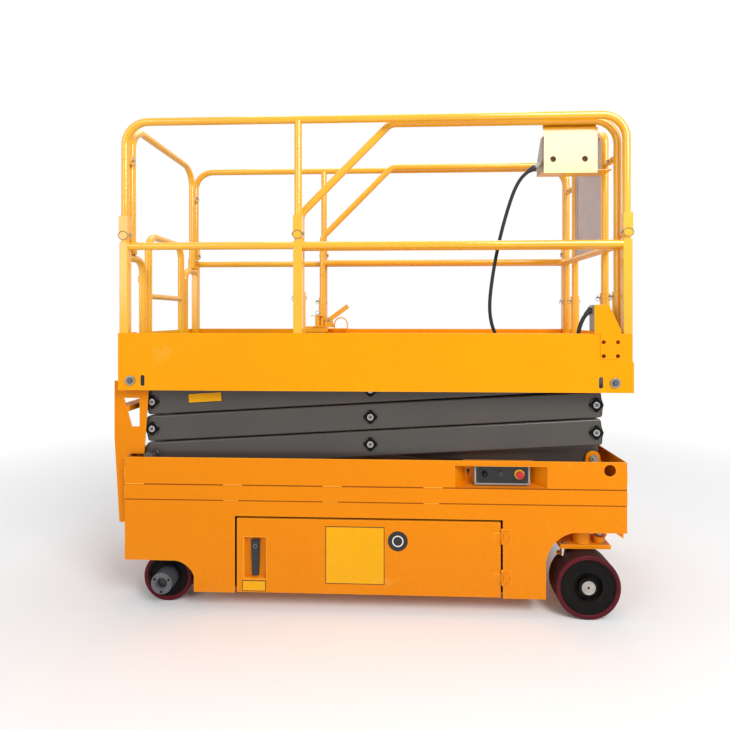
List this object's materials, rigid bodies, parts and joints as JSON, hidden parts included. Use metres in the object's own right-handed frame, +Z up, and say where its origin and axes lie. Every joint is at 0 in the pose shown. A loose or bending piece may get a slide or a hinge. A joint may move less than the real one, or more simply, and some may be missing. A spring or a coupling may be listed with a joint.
{
  "type": "narrow electric scissor lift with sliding deck extension",
  "caption": "Self-propelled scissor lift: box chassis on solid wheels, crossed-arm lifting stack, railed platform with a sliding extension, entry gate and rear ladder.",
  "frame": {"origin": "middle of the outline on the floor, lift stowed", "axes": "+X towards the steered front wheels, +Y to the machine's left, +Z up"},
  "size_m": [2.314, 0.822, 2.21],
  "materials": {
    "yellow_paint": "gloss paint",
    "dark_arm_paint": "satin paint",
    "motor_casting": "cast, black",
    "wheel_tyre": "smooth solid polyurethane",
    "black_wheel": "satin black",
    "grey_wheel": "satin grey",
    "battery_case": "plain block",
    "pump_block": "plain block",
    "black_plastic": "fine grain",
    "bright_rod": "polished",
    "deck_steel": "tread plate",
    "grey_box": "satin",
    "grey_sheet": "perforated sheet",
    "cable_rubber": "smooth rubber"
  },
  "bodies": {
    "chassis": {"chassis_frame": "yellow_paint", "side_skirts": "yellow_paint", "underbody_tray": "yellow_paint", "rear_ladder": "yellow_paint", "rear_axle": "yellow_paint", "front_axle_beam": "yellow_paint", "base_brackets": "yellow_paint", "battery_pack": "battery_case", "hydraulic_unit": "pump_block", "ground_control_panel": "black_plastic", "door_hinges": "yellow_paint"},
    "battery_door": {"battery_door": "yellow_paint", "battery_door_handle": "black_plastic"},
    "pump_door": {"pump_door": "yellow_paint", "pump_door_handle": "black_plastic"},
    "right_steering": {"right_knuckle": "yellow_paint", "right_drive_motor": "motor_casting"},
    "left_steering": {"left_knuckle": "yellow_paint", "left_drive_motor": "motor_casting"},
    "tie_rod": {"tie_rod": "yellow_paint"},
    "front_right_wheel": {"front_right_tyre": "wheel_tyre", "front_right_hub": "black_wheel"},
    "front_left_wheel": {"front_left_tyre": "wheel_tyre", "front_left_hub": "black_wheel"},
    "rear_right_wheel": {"rear_right_tyre": "wheel_tyre", "rear_right_hub": "grey_wheel"},
    "rear_left_wheel": {"rear_left_tyre": "wheel_tyre", "rear_left_hub": "grey_wheel"},
    "inner_arms_1": {"inner_arms_1": "dark_arm_paint"},
    "outer_arms_1": {"outer_arms_1": "dark_arm_paint"},
    "inner_arms_2": {"inner_arms_2": "dark_arm_paint"},
    "outer_arms_2": {"outer_arms_2": "dark_arm_paint"},
    "inner_arms_3": {"inner_arms_3": "dark_arm_paint"},
    "outer_arms_3": {"outer_arms_3": "dark_arm_paint"},
    "lift_cylinder_barrel": {"lift_cylinder_barrel": "dark_arm_paint"},
    "lift_cylinder_rod": {"lift_cylinder_rod": "bright_rod"},
    "platform": {"platform_frame": "yellow_paint", "platform_side_plates": "yellow_paint", "platform_side_flanges": "yellow_paint", "platform_end_beams": "yellow_paint", "deck_plate": "deck_steel", "toe_boards": "yellow_paint", "lower_guardrails": "yellow_paint", "upper_guardrails": "yellow_paint", "rear_guardrail": "yellow_paint", "gate_jambs": "yellow_paint", "outlet_bracket": "yellow_paint", "outlet_box": "grey_box", "outlet_cable": "cable_rubber"},
    "entry_gate": {"entry_gate": "yellow_paint"},
    "extension": {"extension_deck": "yellow_paint", "extension_rails": "yellow_paint", "front_guardrail": "yellow_paint", "mesh_panel": "grey_sheet", "console_bracket": "yellow_paint", "control_console": "grey_box", "console_cable": "cable_rubber", "extension_lock": "yellow_paint"}
  },
  "joints": [
    {"name": "scissor_lift", "type": "hinge", "parent": "chassis", "child": "inner_arms_1", "pos_m": [1.022, 0, 0.676], "axis": [0, 1, 0], "range_deg": [0, 53]},
    {"name": "outer_arms_1_pivot", "type": "hinge", "parent": "inner_arms_1", "child": "outer_arms_1", "pos_m": [0.017, 0, 0.7375], "axis": [0, 1, 0], "range_deg": [-106.01, 0]},
    {"name": "inner_arms_2_pivot", "type": "hinge", "parent": "outer_arms_1", "child": "inner_arms_2", "pos_m": [1.022, 0, 0.799], "axis": [0, 1, 0], "range_deg": [0, 106.01]},
    {"name": "outer_arms_2_pivot", "type": "hinge", "parent": "inner_arms_2", "child": "outer_arms_2", "pos_m": [0.017, 0, 0.8605], "axis": [0, 1, 0], "range_deg": [-106.01, 0]},
    {"name": "inner_arms_3_pivot", "type": "hinge", "parent": "outer_arms_2", "child": "inner_arms_3", "pos_m": [1.022, 0, 0.922], "axis": [0, 1, 0], "range_deg": [0, 106.01]},
    {"name": "outer_arms_3_pivot", "type": "hinge", "parent": "inner_arms_3", "child": "outer_arms_3", "pos_m": [0.017, 0, 0.9835], "axis": [0, 1, 0], "range_deg": [-106.01, 0]},
    {"name": "platform_pivot", "type": "hinge", "parent": "outer_arms_3", "child": "platform", "pos_m": [1.022, 0, 1.045], "axis": [0, 1, 0], "range_deg": [0, 53.01]},
    {"name": "cylinder_base_pivot", "type": "hinge", "parent": "inner_arms_1", "child": "lift_cylinder_barrel", "pos_m": [-0.68925, 0, 0.73563], "axis": [0, 1, 0], "range_deg": [-104.42, 0]},
    {"name": "cylinder_stroke", "type": "slide", "parent": "lift_cylinder_barrel", "child": "lift_cylinder_rod", "axis": [0.9854, 0, 0.1705], "range_m": [0, 0.2122]},
    {"name": "extension_slide", "type": "slide", "parent": "platform", "child": "extension", "axis": [1, 0, 0], "range_m": [0, 0.9]},
    {"name": "entry_gate_hinge", "type": "hinge", "parent": "platform", "child": "entry_gate", "pos_m": [-1.09, 0.2075, 1.4], "axis": [0, 0, 1], "range_deg": [0, 90], "stiffness_Nm_per_rad": 6, "springref_deg": -11.46},
    {"name": "battery_door_hinge", "type": "hinge", "parent": "chassis", "child": "battery_door", "pos_m": [0.596, -0.395, 0.25], "axis": [0, 0, 1], "range_deg": [0, 100]},
    {"name": "pump_door_hinge", "type": "hinge", "parent": "chassis", "child": "pump_door", "pos_m": [0.596, 0.395, 0.25], "axis": [0, 0, 1], "range_deg": [-100, 0]},
    {"name": "steering", "type": "hinge", "parent": "chassis", "child": "left_steering", "pos_m": [0.967, 0.31, 0.294], "axis": [0, 0, 1], "range_deg": [-70, 70]},
    {"name": "right_kingpin", "type": "hinge", "parent": "chassis", "child": "right_steering", "pos_m": [0.967, -0.31, 0.294], "axis": [0, 0, 1], "range_deg": [-70, 70]},
    {"name": "tie_rod_pin", "type": "hinge", "parent": "left_steering", "child": "tie_rod", "pos_m": [1.046, 0.31, 0.317], "axis": [0, 0, 1], "range_deg": [-70, 70]},
    {"name": "front_right_axle", "type": "hinge", "parent": "right_steering", "child": "front_right_wheel", "pos_m": [0.967, -0.345, 0.139], "axis": [0, 1, 0], "continuous": true},
    {"name": "front_left_axle", "type": "hinge", "parent": "left_steering", "child": "front_left_wheel", "pos_m": [0.967, 0.345, 0.139], "axis": [0, 1, 0], "continuous": true},
    {"name": "rear_right_axle", "type": "hinge", "parent": "chassis", "child": "rear_right_wheel", "pos_m": [-0.923, -0.28, 0.112], "axis": [0, 1, 0], "continuous": true},
    {"name": "rear_left_axle", "type": "hinge", "parent": "chassis", "child": "rear_left_wheel", "pos_m": [-0.923, 0.28, 0.112], "axis": [0, 1, 0], "continuous": true}
  ],
  "couplings": [
    {"joint": "outer_arms_1_pivot", "follows": "scissor_lift", "ratio": -2},
    {"joint": "inner_arms_2_pivot", "follows": "scissor_lift", "ratio": 2},
    {"joint": "outer_arms_2_pivot", "follows": "scissor_lift", "ratio": -2},
    {"joint": "inner_arms_3_pivot", "follows": "scissor_lift", "ratio": 2},
    {"joint": "outer_arms_3_pivot", "follows": "scissor_lift", "ratio": -2},
    {"joint": "platform_pivot", "follows": "scissor_lift", "ratio": 1},
    {"joint": "cylinder_base_pivot", "follows": "scissor_lift", "ratio": -1.97},
    {"joint": "cylinder_stroke", "follows": "scissor_lift", "m_per_rad": 0.2289},
    {"joint": "right_kingpin", "follows": "steering", "ratio": 1},
    {"joint": "tie_rod_pin", "follows": "steering", "ratio": -1}
  ]
}
